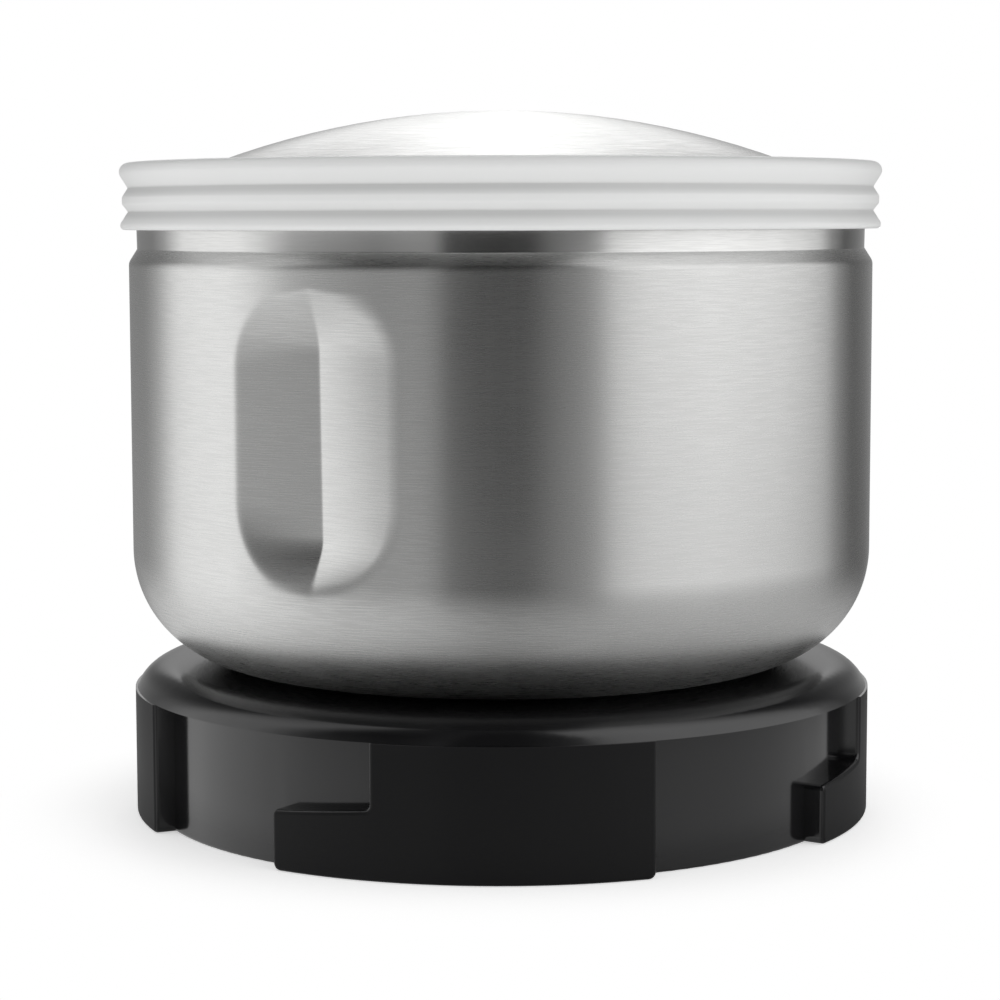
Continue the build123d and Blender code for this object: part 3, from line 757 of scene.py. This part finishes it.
# Amounts at the two ends of a blend, or at its far end alone
LIT_LEVEL = 1.25  # a part of the studio this bright is neither dimmed nor lifted
DIMMING = 0.9
LEFT_LIFTS = (-0.4, 0.8)
RIGHT_DIMMING = 0.72
TABLE_LEVEL, TABLE_LEFT, TABLE_RIGHT = 0.2, 0.9, 0.14  # in the middle, and added towards each side
TABLE_SHADE = 0.56
TABLE_SHARE = 0.9
SOFT_LEVEL, SOFT_STUDIO = 0.88, 0.3  # plain light, and the share of the brightness by bearing that it gains
SOFT_SHADES = (1.45, 0.5)

# Floor: its colour, its glow for the camera and for matt faces, and two blends by distance from the spindle axis. In
# the first it joins the white background, and in the second it grows clearer for polished faces.
FLOOR_COLOUR = (0.86, 0.86, 0.86, 1.0)
CAMERA_GLOW = 0.5
MATT_GLOW = 0.4
FLOOR_JOIN = (0.044, 0.06)
FLOOR_HIDING = (0.07, 0.16)
FLOOR_CLEARNESS = (0.7, 1.0)


class Studio:
    """World shader under construction: its tree, the parts of a ray's direction and the brightness by bearing."""

    def __init__(self, world):
        world.use_nodes = True
        self.tree = world.node_tree
        parts = add_node(self.tree, "ShaderNodeSeparateXYZ")
        direction = add_node(self.tree, "ShaderNodeTexCoord").outputs["Generated"]
        self.tree.links.new(direction, parts.inputs[0])
        self.right, self.up = parts.outputs["X"], parts.outputs["Z"]
        self.front = product(self.tree, parts.outputs["Y"], -1.0)
        self.bearing = math_node(self.tree, "ARCTAN2", self.right, self.front)
        self.around = self.level_by_bearing()

    def level_by_bearing(self):
        """Brightness of the studio by bearing, from its table."""
        ramp = add_node(self.tree, "ShaderNodeValToRGB")
        stops = ramp.color_ramp.elements
        while len(stops) < len(STUDIO):
            stops.new(0.5)
        for stop, (angle, level) in zip(stops, STUDIO):
            stop.position = (angle + 180) / 360
            stop.color = (level / STUDIO_PEAK, level / STUDIO_PEAK, level / STUDIO_PEAK, 1.0)
        turn = map_range(self.tree, self.bearing, -math.pi, math.pi, smooth=False)
        self.tree.links.new(turn, ramp.inputs["Fac"])
        return product(self.tree, ramp.outputs["Color"], STUDIO_PEAK)

    def mixed(self, factor, first, second):
        """Output of a Mix node between two brightness values, which are numbers or sockets."""
        node = add_node(self.tree, "ShaderNodeMix", data_type="FLOAT")
        self.tree.links.new(factor, node.inputs["Factor"])
        for name, value in (("A", first), ("B", second)):
            if isinstance(value, bpy.types.NodeSocket):
                self.tree.links.new(value, node.inputs[name])
            else:
                node.inputs[name].default_value = value
        return node.outputs["Result"]

    def level_by_height(self):
        """Brightness by bearing, where the dark parts grow dimmer with height and paler low down on the left."""
        tree = self.tree
        lit = math_node(tree, "MINIMUM", product(tree, self.around, 1 / LIT_LEVEL), 1.0)
        unlit = math_node(tree, "SUBTRACT", 1.0, lit)
        fall = product(tree, unlit, map_range(tree, self.up, *DIMMING_HEIGHTS, 0.0, DIMMING))
        left_front = product(
            tree, map_range(tree, self.right, *LEFT_SIDES), map_range(tree, self.front, *LEFT_FRONTS)
        )
        lift = product(tree, left_front, map_range(tree, self.up, *LEFT_HEIGHTS, *LEFT_LIFTS), unlit)
        kept = math_node(tree, "ADD", math_node(tree, "SUBTRACT", 1.0, fall), lift)
        return product(tree, self.around, kept)

    def with_back(self, level):
        """The level with a pale back above the low cards, the white wall in its middle, and a dark top."""
        tree = self.tree
        away = math_node(tree, "ABSOLUTE", self.bearing)
        pale = product(tree, map_range(tree, away, *BACK_BEARINGS), band(tree, self.up, *BACK_HEIGHTS))
        white = product(tree, map_range(tree, away, *WALL_BEARINGS), map_range(tree, self.up, *WALL_HEIGHTS))
        walled = self.mixed(white, self.mixed(pale, level, STUDIO_BACK), STUDIO_WALL)
        return self.mixed(map_range(tree, self.up, *TOP_HEIGHTS), walled, STUDIO_TOP)

    def with_table(self, level):
        """The level, dim low down on the right, with a table below that is palest on the left."""
        tree = self.tree
        leftwards = math_node(tree, "MAXIMUM", product(tree, self.right, -TABLE_LEFT), 0.0)
        rightwards = math_node(tree, "MAXIMUM", product(tree, self.right, TABLE_RIGHT), 0.0)
        sides = math_node(tree, "ADD", leftwards, rightwards)
        shade = map_range(tree, self.up, *TABLE_SHADE_HEIGHTS, 1.0, TABLE_SHADE)
        table = product(tree, math_node(tree, "ADD", sides, TABLE_LEVEL), shade)
        low = map_range(tree, self.up, *RIGHT_HEIGHTS, 0.0, RIGHT_DIMMING)
        right_low = product(tree, map_range(tree, self.right, *RIGHT_SIDES), low)
        dimmed = product(tree, level, math_node(tree, "SUBTRACT", 1.0, right_low))
        return self.mixed(map_range(tree, self.up, *TABLE_HEIGHTS, 0.0, TABLE_SHARE), dimmed, table)

    def soft_level(self):
        """Plain light for matt faces, which is brighter from below and changes a little with bearing."""
        sides = math_node(self.tree, "MULTIPLY_ADD", self.around, SOFT_STUDIO, SOFT_LEVEL)
        return product(self.tree, sides, map_range(self.tree, self.up, *SOFT_HEIGHTS, *SOFT_SHADES))


class GRINDER_OT_stage(bpy.types.Operator):
    """Set up the floor, the studio light and the camera"""

    bl_idname = "grinder.stage"
    bl_label = "Stage"

    def execute(self, context):
        stage = context.scene.grinder_stage
        self.floor(stage)
        self.world(context.scene)
        self.camera(context.scene, stage)
        context.scene.view_settings.view_transform = "Standard"
        return {"FINISHED"}

    def floor(self, stage):
        """Round floor: a fan of triangles about its centre, with its corners on a circle."""
        angles = np.linspace(0, 2 * np.pi, stage.sides, endpoint=False)
        rim = np.stack((np.cos(angles), np.sin(angles), np.zeros_like(angles)), axis=1) * stage.floor_radius
        corners = np.vstack((np.zeros(3), rim))
        first = np.arange(stage.sides)
        faces = np.stack((np.zeros_like(first), first + 1, (first + 1) % stage.sides + 1), axis=1)
        mesh = bpy.data.meshes.new("floor")
        mesh.from_pydata(corners.tolist(), [], faces.tolist())
        floor = bpy.data.objects.new("floor", mesh)
        bpy.context.scene.collection.objects.link(floor)
        mesh.materials.append(self.floor_material())

    def floor_material(self):
        """Pale floor: it glows a little for the camera, so that it joins the background and keeps a soft shadow.

        Polished faces see it only near the object, and the studio beyond that.
        """
        material = bpy.data.materials.new("studio_floor")
        material.use_nodes = True
        tree = material.node_tree
        shader = tree.nodes["Principled BSDF"]
        shader.inputs["Roughness"].default_value = 0.9
        shader.inputs["Specular IOR Level"].default_value = 0.0
        shader.inputs["Base Color"].default_value = FLOOR_COLOUR
        light_path = add_node(tree, "ShaderNodeLightPath")
        for_camera = product(tree, light_path.outputs["Is Camera Ray"], CAMERA_GLOW)
        glow = math_node(tree, "MULTIPLY_ADD", light_path.outputs["Is Diffuse Ray"], MATT_GLOW, for_camera)
        tree.links.new(glow, shader.inputs["Emission Strength"])
        shader.inputs["Emission Color"].default_value = (1.0, 1.0, 1.0, 1.0)
        place = add_node(tree, "ShaderNodeTexCoord")
        distance = add_node(tree, "ShaderNodeVectorMath", operation="LENGTH")
        tree.links.new(place.outputs["Object"], distance.inputs[0])
        join = map_range(tree, distance.outputs["Value"], *FLOOR_JOIN)
        far = map_range(tree, distance.outputs["Value"], *FLOOR_HIDING, *FLOOR_CLEARNESS)
        hidden = product(tree, far, light_path.outputs["Is Glossy Ray"])
        white = add_node(tree, "ShaderNodeEmission", Strength=1.0)
        clear = add_node(tree, "ShaderNodeBsdfTransparent")
        surface = shader.outputs[0]
        for factor, other in ((join, white), (hidden, clear)):
            mix = add_node(tree, "ShaderNodeMixShader")
            tree.links.new(factor, mix.inputs["Fac"])
            tree.links.new(surface, mix.inputs[1])
            tree.links.new(other.outputs[0], mix.inputs[2])
            surface = mix.outputs[0]
        tree.links.new(surface, tree.nodes["Material Output"].inputs["Surface"])
        return material

    def world(self, scene):
        """White for the camera and through clear plastic, plain soft light, and a studio for polished faces."""
        scene.world = bpy.data.worlds.new("studio")
        studio = Studio(scene.world)
        polished = studio.with_table(studio.with_back(studio.level_by_height()))
        tree = studio.tree
        light_path = add_node(tree, "ShaderNodeLightPath")
        level = studio.mixed(light_path.outputs["Is Diffuse Ray"], polished, studio.soft_level())
        direct = math_node(
            tree, "MAXIMUM", light_path.outputs["Is Camera Ray"], light_path.outputs["Is Transmission Ray"]
        )
        background = tree.nodes["Background"]
        tree.links.new(studio.mixed(direct, level, 1.0), background.inputs["Strength"])
        background.inputs["Color"].default_value = (1.0, 1.0, 1.0, 1.0)

    def camera(self, scene, stage):
        """Camera in front of the bowl, looking slightly down."""
        data = bpy.data.cameras.new("camera")
        data.lens = stage.lens
        data.sensor_width = 36.0
        data.dof.use_dof = False
        data.clip_start = 0.01
        camera = bpy.data.objects.new("camera", data)
        scene.collection.objects.link(camera)
        place = Matrix.Translation((stage.sideways, -stage.distance, stage.height))
        turn = Matrix.Rotation(math.pi / 2 - stage.pitch, 4, "X") @ Matrix.Rotation(stage.roll, 4, "Z")
        camera.matrix_world = place @ turn
        scene.camera = camera


class GRINDER_PT_panel(bpy.types.Panel):
    """Steps that finish the bowl, in order"""

    bl_idname = "GRINDER_PT_panel"
    bl_label = "Grinder Bowl"
    bl_space_type = "VIEW_3D"
    bl_region_type = "UI"
    bl_category = "Grinder Bowl"

    def draw(self, context):
        for operator in OPERATORS:
            self.layout.operator(operator.bl_idname)
        for name in SETTINGS:
            settings = getattr(context.scene, name)
            box = self.layout.box()
            for key in settings.bl_rna.properties.keys():
                if key not in ("name", "rna_type"):
                    box.prop(settings, key)


OPERATORS = (
    GRINDER_OT_shared_groups,
    GRINDER_OT_bowl,
    GRINDER_OT_collar,
    GRINDER_OT_lid,
    GRINDER_OT_running_gear,
    GRINDER_OT_stage,
)
SETTINGS = {
    "grinder_steel": SteelSettings,
    "grinder_plastic": PlasticSettings,
    "grinder_stage": StageSettings,
}


def register():
    """Registers the settings, the operators and the panel."""
    for kind in (*SETTINGS.values(), *OPERATORS, GRINDER_PT_panel):
        bpy.utils.register_class(kind)
    for name, kind in SETTINGS.items():
        setattr(bpy.types.Scene, name, PointerProperty(type=kind))


def unregister():
    """Takes away what register added."""
    for name in SETTINGS:
        delattr(bpy.types.Scene, name)
    for kind in reversed((*SETTINGS.values(), *OPERATORS, GRINDER_PT_panel)):
        bpy.utils.unregister_class(kind)


def main():
    """Registers the add-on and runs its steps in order."""
    register()
    for operator in OPERATORS:
        section, name = operator.bl_idname.split(".")
        getattr(getattr(bpy.ops, section), name)()


if __name__ == "__main__":
    main()
